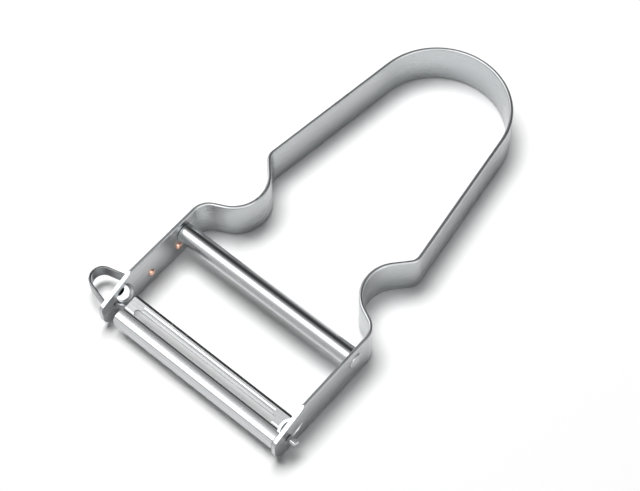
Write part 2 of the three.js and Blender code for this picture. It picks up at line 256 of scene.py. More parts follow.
@dataclass(frozen=True)
class MetalFinish:
    """A bare metal with marks drawn along it, faint blotches and fine scratches."""

    name: str
    dark: Triple
    light: Triple
    roughness: float
    drawn_scale: Triple
    drawn_roughness: float = 0.06
    drawn_depth: float = 0.02
    blotch_scale: float = 90.0
    blotch_roughness: float = 0.05
    scratch_scale: Triple = (900.0, 900.0, 2600.0)
    scratch_range: tuple[float, float] = (0.6, 0.72)
    scratch_roughness: float = 0.08
    scratch_depth: float = 0.35
    drawn_share: float = 0.45
    mark_depth: float = 0.1

    def material(self) -> bpy.types.Material:
        """Builds the finish.

        Returns:
            The new material.
        """
        material = bpy.data.materials.new(self.name)
        material.use_nodes = True
        graph = Graph(material.node_tree)
        drawn = graph.noise(self.drawn_scale, detail=4.0)
        blotch = graph.noise((self.blotch_scale,) * 3, detail=4.0)
        bare, scratched = self.scratch_range
        scratch = graph.ramp(graph.noise(self.scratch_scale, detail=2.0), [(bare, 0.0), (scratched, 1.0)])
        tone = self.drawn_share * drawn + (1.0 - self.drawn_share) * blotch
        roughness = (
            self.roughness
            + self.drawn_roughness * (drawn - 0.5)
            + self.blotch_roughness * (blotch - 0.5)
            + self.scratch_roughness * scratch
        )
        height = drawn - self.scratch_depth * scratch
        bump = graph.node(
            "ShaderNodeBump",
            inputs={"Strength": self.drawn_depth, "Distance": self.mark_depth * MM, "Height": height},
        )
        shader = graph.node(
            "ShaderNodeBsdfPrincipled",
            inputs={
                "Base Color": graph.mix(tone, self.dark, self.light),
                "Metallic": 1.0,
                "Roughness": roughness,
                "Normal": bump,
            },
        )
        graph.node("ShaderNodeOutputMaterial", inputs={"Surface": shader})
        return material


STRIP_FINISH = MetalFinish(
    "satin_aluminium",
    dark=(0.45, 0.465, 0.475),
    light=(0.53, 0.545, 0.555),
    roughness=0.28,
    drawn_scale=(60.0, 60.0, 5200.0),
    drawn_depth=0.06,
)
TUBE_FINISH = MetalFinish(
    "polished_tube",
    dark=(0.48, 0.49, 0.50),
    light=(0.58, 0.59, 0.60),
    roughness=0.17,
    drawn_scale=(50.0, 4200.0, 4200.0),
    drawn_depth=0.03,
)
BLADE_FINISH = MetalFinish(
    "brushed_blade",
    dark=(0.52, 0.53, 0.54),
    light=(0.62, 0.63, 0.64),
    roughness=0.19,
    drawn_scale=(40.0, 5200.0, 5200.0),
    drawn_depth=0.035,
)
LOOP_FINISH = MetalFinish(
    "dull_loop_steel",
    dark=(0.17, 0.18, 0.185),
    light=(0.26, 0.27, 0.275),
    roughness=0.22,
    drawn_scale=(90.0, 90.0, 4200.0),
    drawn_depth=0.06,
)
COPPER_FINISH = MetalFinish(
    "bare_copper",
    dark=(0.70, 0.40, 0.30),
    light=(0.86, 0.56, 0.44),
    roughness=0.26,
    drawn_scale=(1500.0, 1500.0, 1500.0),
    drawn_depth=0.05,
)


@dataclass(frozen=True)
class Corner:
    """A corner of a bent line, rounded to a radius, in millimetres."""

    u: float
    v: float
    radius: float = 0.0


@dataclass(frozen=True)
class Run:
    """A straight run, as a move."""

    move: tuple[float, float]


@dataclass(frozen=True)
class Bend:
    """A bend about a centre, anticlockwise where the angle is positive."""

    centre: tuple[float, float]
    angle: float


def bent_line(corners: Sequence[Corner]) -> list[Run | Bend]:
    """Splits a line of rounded corners into straight runs and bends.

    Args:
        corners: the line's corners, its two ends included.

    Returns:
        The runs and bends in order, from the first corner.
    """
    points = [Vector((corner.u, corner.v)) for corner in corners]
    steps: list[Run | Bend] = []
    here = points[0]
    for before, corner, at, after in zip(points, corners[1:], points[1:], points[2:]):
        start = (at - before).normalized()
        end = (after - at).normalized()
        turn = math.atan2(start.x * end.y - start.y * end.x, start.dot(end))
        setback = corner.radius * math.tan(abs(turn) / 2)
        bend_start = at - start * setback
        left = Vector((-start.y, start.x))
        centre = bend_start + left * math.copysign(corner.radius, turn)
        steps.append(Run(tuple(bend_start - here)))
        steps.append(Bend(tuple(centre), turn))
        here = at + end * setback
    steps.append(Run(tuple(points[-1] - here)))
    return steps


def nose_apex(half_width: float, reach: float, radius: float) -> float:
    """How far away two leaning lines meet that are tangent to one round nose.

    Args:
        half_width: half the distance between the lines where they start.
        reach: distance from there to the nose's centre.
        radius: the nose's radius.

    Returns:
        The distance from the start to where the lines would meet.
    """
    lean = math.acos(radius / math.hypot(half_width, reach)) - math.atan2(reach, half_width)
    return half_width / math.tan(lean)


class Bench:
    """Shaping moves on one mesh object, each made with Blender's own operators."""

    BEND_STEP = math.radians(4.0)
    TURN_STEPS = 56
    EDGE_STEPS = 5
    BALL_STEPS = 96
    SEED = 0.1 * MM
    DOUBLED = 0.0005 * MM
    MERGE = 0.002 * MM
    ON_PLANE = 0.0002 * MM
    NEAR = 0.001 * MM

    def __init__(self, piece: bpy.types.Object) -> None:
        """Takes the object that was just added."""
        self.piece = piece

    @staticmethod
    def clear() -> None:
        """Deselects every object."""
        for other in bpy.context.selected_objects:
            other.select_set(False)

    @classmethod
    def take(cls, piece: bpy.types.Object) -> "Bench":
        """Makes an object the only selected and active one.

        Args:
            piece: the object.

        Returns:
            A bench for it.
        """
        cls.clear()
        piece.select_set(True)
        bpy.context.view_layer.objects.active = piece
        return cls(piece)

    @classmethod
    def _named(cls, name: str) -> "Bench":
        """Names the object that was just added and puts its place into its mesh.

        Args:
            name: the object's name.

        Returns:
            A bench for it.
        """
        piece = bpy.context.object
        piece.name = name
        piece.data.name = name
        bpy.ops.object.transform_apply(location=True, rotation=True, scale=True)
        return cls(piece)

    @classmethod
    def plane(cls, name: str, at: Vector, size: tuple[float, float], turn: Triple = (0, 0, 0)) -> "Bench":
        """Adds a flat rectangle.

        Args:
            name: the object's name.
            at: its middle.
            size: its two sides.
            turn: its rotation.

        Returns:
            A bench for it.
        """
        cls.clear()
        bpy.ops.mesh.primitive_plane_add(size=1.0, location=at, rotation=turn)
        bpy.context.object.scale = (size[0], size[1], 1.0)
        return cls._named(name)

    @classmethod
    def block(cls, name: str, at: Vector, size: Triple, turn: Triple = (0, 0, 0)) -> "Bench":
        """Adds a rectangular block.

        Args:
            name: the object's name.
            at: its middle.
            size: its three sides.
            turn: its rotation.

        Returns:
            A bench for it.
        """
        cls.clear()
        bpy.ops.mesh.primitive_cube_add(size=1.0, location=at, rotation=turn)
        bpy.context.object.scale = size
        return cls._named(name)

    @classmethod
    def ball(cls, name: str, at: Vector, radii: Triple, tilt: float = 0.0) -> "Bench":
        """Adds a round form with three radii, tilted about X.

        Args:
            name: the object's name.
            at: its middle.
            radii: its radii, in millimetres.
            tilt: its angle about X.

        Returns:
            A bench for it.
        """
        cls.clear()
        bpy.ops.mesh.primitive_uv_sphere_add(
            segments=cls.BALL_STEPS,
            ring_count=cls.BALL_STEPS // 2,
            radius=1.0,
            location=at,
            rotation=(tilt, 0, 0),
        )
        bpy.context.object.scale = tuple(radius * MM for radius in radii)
        return cls._named(name)

    @classmethod
    def turned(cls, name: str, profile: Sequence[tuple[float, float]], axis: Vector) -> "Bench":
        """Turns a profile about a line along X, as on a lathe.

        Args:
            name: the object's name.
            profile: radius and X of each point, from the axis back to the axis.
            axis: a point of the line.

        Returns:
            A bench for the closed solid.
        """
        points = [Vector((x, axis.y, axis.z + radius)) for radius, x in profile]
        bench = cls.plane(name, points[0], (cls.SEED, cls.SEED))
        bpy.ops.object.mode_set(mode="EDIT")
        bpy.ops.mesh.select_mode(type="VERT")
        bpy.ops.mesh.select_all(action="SELECT")
        bpy.ops.mesh.merge(type="CENTER")
        for here, there in zip(points, points[1:]):
            bpy.ops.mesh.extrude_vertices_move(TRANSFORM_OT_translate={"value": there - here})
        bpy.ops.mesh.select_all(action="SELECT")
        bpy.ops.mesh.spin(steps=cls.TURN_STEPS, angle=2 * math.pi, center=axis, axis=(1, 0, 0))
        bpy.ops.object.mode_set(mode="OBJECT")
        return bench.close()

    @classmethod
    def bent_strip(
        cls,
        name: str,
        corners: Sequence[Corner],
        origin: Vector,
        thickness: float,
        width: float,
        edge: float,
    ) -> "Bench":
        """Makes a flat strip that stands on edge and is bent along a line in plan.

        Args:
            name: the object's name.
            corners: the line's corners in millimetres.
            origin: where the line's zero is, at the height of the strip's lower edge.
            thickness: the strip's thickness.
            width: its width, upwards.
            edge: the radius of its long edges.

        Returns:
            A bench for the closed solid.
        """
        first, second = (Vector((corner.u, corner.v)) for corner in corners[:2])
        heading = (second - first).normalized()
        start = origin + Vector((first.x * MM, first.y * MM, width / 2))
        quarter = math.pi / 2
        turn = (quarter, 0.0, math.atan2(heading.y, heading.x) + quarter)
        bench = cls.plane(name, start, (thickness, width), turn)
        bpy.ops.object.mode_set(mode="EDIT")
        bpy.ops.mesh.select_mode(type="VERT")
        bpy.ops.mesh.select_all(action="SELECT")
        bpy.ops.mesh.bevel(offset=edge, offset_type="OFFSET", segments=cls.EDGE_STEPS, affect="VERTICES")
        bpy.ops.mesh.select_mode(type="FACE")
        bpy.ops.mesh.select_all(action="SELECT")
        for step in bent_line(corners):
            if isinstance(step, Run):
                move = (step.move[0] * MM, step.move[1] * MM, 0.0)
                bpy.ops.mesh.extrude_region_move(TRANSFORM_OT_translate={"value": move})
            else:
                centre = origin + Vector((step.centre[0] * MM, step.centre[1] * MM, 0.0))
                cls.spin(step.angle, centre, (0, 0, 1))
        bpy.ops.object.mode_set(mode="OBJECT")
        return bench.close()

    @classmethod
    def spin(cls, angle: float, centre: Vector, axis: Triple) -> None:
        """Extrudes what is selected round a bend, in edit mode.

        Args:
            angle: the bend's angle, by the right-hand rule about the axis.
            centre: a point of the axis.
            axis: its direction.
        """
        steps = max(3, math.ceil(abs(angle) / cls.BEND_STEP))
        bpy.ops.mesh.spin(steps=steps, angle=-angle, center=centre, axis=axis)

    def close(self) -> "Bench":
        """Merges doubled points and turns all faces outwards.

        Returns:
            This bench.
        """
        Bench.take(self.piece)
        bpy.ops.object.mode_set(mode="EDIT")
        bpy.ops.mesh.select_all(action="SELECT")
        bpy.ops.mesh.remove_doubles(threshold=self.DOUBLED)
        bpy.ops.mesh.normals_make_consistent(inside=False)
        bpy.ops.object.mode_set(mode="OBJECT")
        return self

    def select_edges(self, wanted: Callable[[Vector, Vector], bool]) -> int:
        """Selects edges by their two ends and leaves the object in edit mode.

        Args:
            wanted: told an edge's ends, says whether it is meant.

        Returns:
            How many edges are selected.
        """
        Bench.take(self.piece)
        bpy.ops.object.mode_set(mode="EDIT")
        bpy.ops.mesh.select_mode(type="EDGE")
        bpy.ops.mesh.select_all(action="DESELECT")
        bpy.ops.object.mode_set(mode="OBJECT")
        mesh = self.piece.data
        count = 0
        for edge in mesh.edges:
            first, second = (mesh.vertices[index].co for index in edge.vertices)
            if wanted(first, second):
                edge.select = True
                count += 1
        bpy.ops.object.mode_set(mode="EDIT")
        return count

    def select_points(self, wanted: Callable[[Vector], bool]) -> int:
        """Selects points by their place and leaves the object in edit mode.

        Args:
            wanted: told a point, says whether it is meant.

        Returns:
            How many points are selected.
        """
        Bench.take(self.piece)
        bpy.ops.object.mode_set(mode="EDIT")
        bpy.ops.mesh.select_mode(type="VERT")
        bpy.ops.mesh.select_all(action="DESELECT")
        bpy.ops.object.mode_set(mode="OBJECT")
        count = 0
        for point in self.piece.data.vertices:
            if wanted(point.co):
                point.select = True
                count += 1
        bpy.ops.object.mode_set(mode="EDIT")
        return count

    def round_edges(
        self, wanted: Callable[[Vector, Vector], bool], radius: float, segments: int
    ) -> "Bench":
        """Rounds chosen edges.

        Args:
            wanted: told an edge's ends, says whether it is meant.
            radius: the rounding's offset.
            segments: how many faces make it.

        Returns:
            This bench.
        """
        count = self.select_edges(wanted)
        if count:
            bpy.ops.mesh.bevel(offset=radius, offset_type="OFFSET", segments=segments, affect="EDGES")
        bpy.ops.object.mode_set(mode="OBJECT")
        LOG.debug("%s: rounded %d edges", self.piece.name, count)
        return self

    def round_uprights(self, least: float, radius: float, segments: int) -> "Bench":
        """Rounds the upright edges of a cutter.

        Args:
            least: an edge that rises by more than this is upright.
            radius: the rounding's offset.
            segments: how many faces make it.

        Returns:
            This bench.
        """
        return self.round_edges(lambda a, b: abs(a.z - b.z) > least, radius, segments)

    def clip_points(self, wanted: Callable[[Vector], bool], size: float, segments: int) -> "Bench":
        """Cuts chosen corner points off.

        Args:
            wanted: told a point, says whether it is meant.
            size: how far along its edges each cut goes.
            segments: how many edges make it.

        Returns:
            This bench.
        """
        if self.select_points(wanted):
            bpy.ops.mesh.bevel(offset=size, offset_type="OFFSET", segments=segments, affect="VERTICES")
        bpy.ops.object.mode_set(mode="OBJECT")
        return self

    def slice(self, at: Vector, normal: Vector, clear: bool = True) -> "Bench":
        """Cuts the mesh by a plane.

        Args:
            at: a point of the plane.
            normal: its normal; what lies on that side goes where clear is set.
            clear: whether one side is removed and the cut closed, or only a line is added.

        Returns:
            This bench.
        """
        Bench.take(self.piece)
        bpy.ops.object.mode_set(mode="EDIT")
        bpy.ops.mesh.select_all(action="SELECT")
        bpy.ops.mesh.bisect(
            plane_co=at, plane_no=normal, clear_outer=clear, use_fill=clear, threshold=self.ON_PLANE
        )
        bpy.ops.object.mode_set(mode="OBJECT")
        return self

    def round_corner(
        self, corner: Vector, first: Vector, second: Vector, radius: float, steps: int = 10
    ) -> "Bench":
        """Rounds an outer corner between two faces by slicing along its arc.

        Args:
            corner: a point where the two faces meet.
            first: the outward normal of one face.
            second: the outward normal of the other.
            radius: the arc's radius.
            steps: how many slices make it.

        Returns:
            This bench.
        """
        centre = corner - (first + second) * radius / (1.0 + first.dot(second))
        for index in range(1, steps):
            normal = first.slerp(second, index / steps)
            self.slice(centre + normal * radius, normal)
        return self

    def combine(self, tools: Iterable["Bench"], how: Join) -> "Bench":
        """Joins solids to this one, or cuts them out of it, and uses them up.

        Args:
            tools: the other solids.
            how: whether they are joined or cut out.

        Returns:
            This bench.
        """
        for tool in tools:
            Bench.take(self.piece)
            bpy.ops.object.modifier_add(type="BOOLEAN")
            modifier = self.piece.modifiers[-1]
            modifier.operation = how.value
            modifier.object = tool.piece
            modifier.solver = "MANIFOLD"
            bpy.ops.object.modifier_apply(modifier=modifier.name)
            Bench.take(tool.piece)
            bpy.ops.object.delete()
        return self.clean()

    def clean(self) -> "Bench":
        """Merges points that cuts left almost on each other and drops faces without area.

        Returns:
            This bench.
        """
        Bench.take(self.piece)
        bpy.ops.object.mode_set(mode="EDIT")
        bpy.ops.mesh.select_all(action="SELECT")
        bpy.ops.mesh.remove_doubles(threshold=self.MERGE)
        bpy.ops.mesh.dissolve_degenerate(threshold=self.MERGE)
        bpy.ops.object.mode_set(mode="OBJECT")
        return self

    def thicken(self, thickness: float) -> "Bench":
        """Gives a sheet its thickness, half to each side.

        Args:
            thickness: the sheet's thickness.

        Returns:
            This bench.
        """
        Bench.take(self.piece)
        bpy.ops.object.modifier_add(type="SOLIDIFY")
        modifier = self.piece.modifiers[-1]
        modifier.thickness = thickness
        modifier.offset = 0.0
        modifier.use_even_offset = True
        bpy.ops.object.modifier_apply(modifier=modifier.name)
        return self

    def soften(self, width: float, segments: int = 2, angle: float = 32.0) -> "Bench":
        """Breaks all sharp edges.

        Args:
            width: the width of each broken edge.
            segments: how many faces make it.
            angle: edges sharper than this, in degrees, are broken.

        Returns:
            This bench.
        """
        Bench.take(self.piece)
        bpy.ops.object.modifier_add(type="BEVEL")
        modifier = self.piece.modifiers[-1]
        modifier.width = width
        modifier.segments = segments
        modifier.limit_method = "ANGLE"
        modifier.angle_limit = math.radians(angle)
        modifier.miter_outer = "MITER_ARC"
        modifier.use_clamp_overlap = True
        bpy.ops.object.modifier_apply(modifier=modifier.name)
        return self

    def shade(self, angle: float = 30.0) -> "Bench":
        """Shades the piece smooth and keeps its flat faces flat.

        Args:
            angle: edges sharper than this, in degrees, stay crisp.

        Returns:
            This bench.
        """
        Bench.take(self.piece)
        bpy.ops.object.shade_smooth_by_angle(angle=math.radians(angle))
        bpy.ops.object.modifier_add(type="WEIGHTED_NORMAL")
        modifier = self.piece.modifiers[-1]
        modifier.keep_sharp = True
        modifier.weight = 100
        bpy.ops.object.modifier_apply(modifier=modifier.name)
        return self

    def dress(self, finish: bpy.types.Material, body: str, node: str, slot: Slot) -> bpy.types.Object:
        """Gives the finished piece its metal and its place in the frame.

        Args:
            finish: its material.
            body: the body it moves with.
            node: the solid that it stands for.
            slot: the record's slot for it; not used.

        Returns:
            The finished piece.
        """
        self.piece.data.materials.clear()
        self.piece.data.materials.append(finish)
        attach(self.piece, body)
        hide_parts(node)
        LOG.info("%s: %d faces", self.piece.name, len(self.piece.data.polygons))
        return self.piece


@dataclass(frozen=True)
class Arms:
    """The two arms that everything else is set against, in millimetres from the swivel axis."""

    origin: Vector
    spacing: float = 54.26
    thickness: float = 1.0
    width: float = 12.5
    tube_y: float = 24.21
    tube_z: float = 8.03
    axis_z: float = 6.0
    loop_z: float = 4.5
    front_rivet_y: float = 12.1
    rear_rivet_y: float = 21.8
    rivet_hole: float = 1.5
    drill_reach: float = 2.5

    @property
    def inner(self) -> float:
        """Distance of the arms' inner faces from the middle."""
        return self.spacing / 2 - self.thickness / 2

    @property
    def outer(self) -> float:
        """Distance of the arms' outer faces from the middle."""
        return self.spacing / 2 + self.thickness / 2

    def at(self, x: float, y: float, z: float) -> Vector:
        """A point given in millimetres, in the scene's frame.

        Args:
            x: across, from the middle between the arms.
            y: along, from the swivel axis.
            z: up, from the surface the peeler lies on.

        Returns:
            The point in metres.
        """
        return self.origin + Vector((x, y, z)) * MM

    def hole(self, diameter: float, y: float, z: float, sides: Iterable[Side]) -> list[Bench]:
        """Round cutters through the arms.

        Args:
            diameter: the hole's diameter.
            y: its place along the arms.
            z: its height.
            sides: the arms that it goes through.

        Returns:
            One cutter for each arm.
        """
        cutters = []
        radius = diameter / 2 * MM
        for side in sides:
            near = self.at(side.value * self.spacing / 2 - self.drill_reach, y, z)
            far = self.at(side.value * self.spacing / 2 + self.drill_reach, y, z)
            profile = [(0.0, near.x), (radius, near.x), (radius, far.x), (0.0, far.x)]
            cutters.append(Bench.turned("cutter", profile, near))
        return cutters


@dataclass(frozen=True)
class HoodShape:
    """A bearing hood: its place, rise, length and depth, its slit and foot, and how its top leans."""

    y: float
    height: float
    length: float
    depth: float
    sink: float
    slit: float
    foot: float
    tilt: float
    roll: float


@dataclass
class HandleBow:
    """The bent strip with its tapered tips, bearing hoods and holes."""

    arms: Arms
    bend_y: float = 31.58
    bend_radius: float = 4.94
    notch_x: float = 11.40
    notch_y: float = 39.09
    notch_radius: float = 8.75
    shoulder_x: float = 23.40
    shoulder_y: float = 52.18
    shoulder_radius: float = 3.03
    bow_radius: float = 18.26
    bow_y: float = 89.85
    tip_reach: float = 4.65
    taper_start: float = 6.15
    taper_length: float = 8.85
    taper_drop: float = 2.9
    taper_blend: float = 0.3
    tip_upper_radius: float = 1.5
    tip_lower_radius: float = 4.3
    edge: float = 0.47
    tip_edge: float = 0.27
    plain_hood: HoodShape = HoodShape(
        y=0.5,
        height=1.8,
        length=5.4,
        depth=2.5,
        sink=0.7,
        slit=1.05,
        foot=7.45,
        tilt=math.radians(20.0),
        roll=0.0,
    )
    loop_hood: HoodShape = HoodShape(
        y=2.1,
        height=2.2,
        length=5.2,
        depth=2.5,
        sink=1.7,
        slit=0.42,
        foot=0.0,
        tilt=math.radians(28.0),
        roll=math.radians(15.0),
    )
    hood_wall: float = 0.6
    hood_root: float = 0.1
    hollow_root: float = 0.03
    hood_shear_gap: float = 0.15
    hood_foot_reach: float = 0.85
    hood_foot_slope: float = math.radians(27.0)
    hood_z: float = 8.75
    swing_y: float = -0.6
    swing_z: float = 7.95
    swing_slope: float = math.radians(23.4)
    dent_radii: Triple = (3.0, 3.6, 2.4)
    dent_offset: float = 2.3
    dent_y: float = 3.0
    dent_z: float = 5.7
    dent_drop: float = 0.5
    dent_tilt: float = math.radians(20.0)
    window_diameter: float = 2.0
    tube_hole: float = 3.2

    def corners(self) -> list[Corner]:
        """The strip's line in plan, from one tip to the other.

        Returns:
            Its corners.
        """
        apex = self.shoulder_y + nose_apex(self.shoulder_x, self.bow_y - self.shoulder_y, self.bow_radius)
        half = [
            Corner(self.arms.spacing / 2, -self.tip_reach),
            Corner(self.arms.spacing / 2, self.bend_y, self.bend_radius),
            Corner(self.notch_x, self.notch_y, self.notch_radius),
            Corner(self.shoulder_x, self.shoulder_y, self.shoulder_radius),
        ]
        mirrored = [Corner(-corner.u, corner.v, corner.radius) for corner in reversed(half)]
        return [*half, Corner(0.0, apex, self.bow_radius), *mirrored]

    def shape_tips(self, strip: Bench) -> None:
        """Shears the tips to a taper and rounds their corners.

        Args:
            strip: the bent strip.
        """
        slope = self.taper_drop / self.taper_length
        normal = Vector((0.0, -slope, 1.0)).normalized()
        strip.slice(self.arms.at(0.0, self.taper_start, self.arms.width), normal)
        front = Vector((0.0, -1.0, 0.0))
        down = Vector((0.0, 0.0, -1.0))
        low = self.arms.at(0.0, -self.tip_reach, 0.0)
        strip.round_corner(low, down, front, self.tip_lower_radius * MM)
        drop = (self.taper_start + self.tip_reach) * slope
        high = self.arms.at(0.0, -self.tip_reach, self.arms.width - drop)
        strip.round_corner(high, front, normal, self.tip_upper_radius * MM)

    def hood(self, side: Side) -> tuple[Bench, Bench]:
        """The pressed bearing hood of one arm, sheared free along its top.

        Args:
            side: which arm.

        Returns:
            The hood's outside to be joined on and its hollow to be cut out.
        """
        sign = side.value
        inner = sign * self.arms.inner
        shape = self.plain_hood if side is Side.PLAIN else self.loop_hood
        level = Vector((0.0, -math.sin(shape.tilt), math.cos(shape.tilt)))
        shear = (level - Vector((sign * math.tan(shape.roll), 0.0, 0.0))).normalized()
        top = self.arms.at(inner, shape.y, self.hood_z)
        centre = top - level * shape.sink * MM + Vector((sign * self.hood_root * MM, 0.0, 0.0))
        radii = (shape.height + self.hood_root, shape.length / 2, shape.depth)
        outside = Bench.ball("hood", centre, radii, shape.tilt)
        outside.slice(top, shear)
        outside.slice(self.arms.at(sign * self.arms.spacing / 2, 0.0, 0.0), Vector((sign, 0.0, 0.0)))
        foot = self.arms.at(inner - sign * self.hood_foot_reach, 0.0, shape.foot)
        slope = self.hood_foot_slope
        outside.slice(foot, Vector((-sign * math.sin(slope), 0.0, -math.cos(slope))))
        if side is Side.PLAIN:
            clear_of_blade = Vector((0.0, -math.sin(self.swing_slope), -math.cos(self.swing_slope)))
            outside.slice(self.arms.at(0.0, self.swing_y, self.swing_z), clear_of_blade)
        depth = shape.depth - 0.6 * self.hood_wall
        reach = (shape.slit + self.hood_root) / math.sqrt(1.0 - (shape.sink / depth) ** 2)
        hollow = Bench.ball("hollow", centre, (reach, shape.length / 2 - self.hood_wall, depth), shape.tilt)
        hollow.slice(top + shear * self.hood_shear_gap * MM, shear)
        hollow.slice(self.arms.at(inner + sign * self.hollow_root, 0.0, 0.0), Vector((sign, 0.0, 0.0)))
        return outside.close(), hollow.close()

    def dent(self) -> Bench:
        """The dent that pressing the hood leaves in the outside of the plain arm, sheared along its top.

        Returns:
            The cutter for it.
        """
        middle = self.arms.at(self.arms.outer + self.dent_offset, self.dent_y, self.dent_z)
        cutter = Bench.ball("dent", middle, self.dent_radii, self.dent_tilt)
        level = Vector((0.0, -math.sin(self.dent_tilt), math.cos(self.dent_tilt)))
        return cutter.slice(middle - level * self.dent_drop * MM, level).close()

    def build(self, finish: bpy.types.Material) -> bpy.types.Object:
        """Models the strip and dresses it.

        Args:
            finish: its metal.

        Returns:
            The finished piece.
        """
        arms = self.arms
        strip = Bench.bent_strip(
            "handle_strip",
            self.corners(),
            arms.origin,
            arms.thickness * MM,
            arms.width * MM,
            self.edge * MM,
        )
        self.shape_tips(strip)
        strip.close().soften(self.tip_edge * MM, segments=3)
        for side in Side:
            outside, hollow = self.hood(side)
            strip.combine([outside], Join.ADD).combine([hollow], Join.CUT)
        holes = [
            self.dent(),
            *arms.hole(self.window_diameter, 0.0, arms.axis_z, Side),
            *arms.hole(self.tube_hole, arms.tube_y, arms.tube_z, Side),
            *arms.hole(arms.rivet_hole, arms.front_rivet_y, arms.loop_z, [Side.LOOP]),
            *arms.hole(arms.rivet_hole, arms.rear_rivet_y, arms.loop_z, [Side.LOOP]),
        ]
        strip.combine(holes, Join.CUT)
        blend = arms.at(0.0, self.taper_start + self.taper_blend, 0.0)
        strip.slice(blend, Vector((0.0, 1.0, 0.0)), clear=False)
        return strip.shade().dress(finish, HANDLE_BODY, "handle_bow", Slot.STRIP)


@dataclass
class CrossTube:
    """The tube between the arms and the rivet through it."""

    arms: Arms
    diameter: float = 5.0
    wall: float = 0.8
    end_gap: float = 0.05
    end_round: float = 0.25
    rivet_diameter: float = 3.0
    head_diameter: float = 4.3
    head_dome: float = 0.42
    head_dimple: float = 1.7
    seat_gap: float = 0.03

    def build_tube(self, finish: bpy.types.Material) -> bpy.types.Object:
        """Models the tube with rounded ends and an open bore.

        Args:
            finish: its metal.

        Returns:
            The finished piece.
        """
        axis = self.arms.at(0.0, self.arms.tube_y, self.arms.tube_z)
        outer = self.diameter / 2 * MM
        inner = outer - self.wall * MM
        end = (self.arms.inner - self.end_gap) * MM
        turn = self.end_round * MM
        half = [
            (inner, end),
            (outer - turn, end),
            (outer - 0.3 * turn, end - 0.3 * turn),
            (outer, end - turn),
        ]
        profile = [(radius, axis.x - x) for radius, x in half]
        profile += [(radius, axis.x + x) for radius, x in reversed(half)]
        profile.append(profile[0])
        tube = Bench.turned("cross_tube", profile, axis)
        return tube.shade(40.0).dress(finish, HANDLE_BODY, "spacer_tube", Slot.TUBE)

    def build_rivet(self, finish: bpy.types.Material) -> bpy.types.Object:
        """Models the long rivet with a domed, dimpled head outside each arm.

        Args:
            finish: its metal.

        Returns:
            The finished piece.
        """
        axis = self.arms.at(0.0, self.arms.tube_y, self.arms.tube_z)
        shank = self.rivet_diameter / 2 * MM
        head = self.head_diameter / 2 * MM
        seat = (self.arms.outer + self.seat_gap) * MM
        dome = self.head_dome * MM
        dimple = self.head_dimple / 2 * MM
        half = [
            (0.0, seat + dome),
            (0.6 * dimple, seat + 0.97 * dome),
            (dimple, seat + 0.8 * dome),
            (1.15 * dimple, seat + 0.62 * dome),
            (1.35 * dimple, seat + 0.58 * dome),
            (1.6 * dimple, seat + 0.72 * dome),
            (0.8 * head, seat + 0.78 * dome),
            (0.9 * head, seat + 0.66 * dome),
            (0.97 * head, seat + 0.4 * dome),
            (head, seat + 0.15 * dome),
            (head, seat),
            (shank, seat),
        ]
        profile = [(radius, axis.x - x) for radius, x in half]
        profile += [(radius, axis.x + x) for radius, x in reversed(half)]
        rivet = Bench.turned("tube_rivet", profile, axis)
        return rivet.shade(40.0).dress(finish, HANDLE_BODY, "spacer_rivet", Slot.STRIP)


@dataclass(frozen=True)
class GroundFace:
    """One ground step of the blade's band, by width and fall in degrees; most cuts run on over the slot."""

    width: float
    fall: float
    runs_on: bool = True


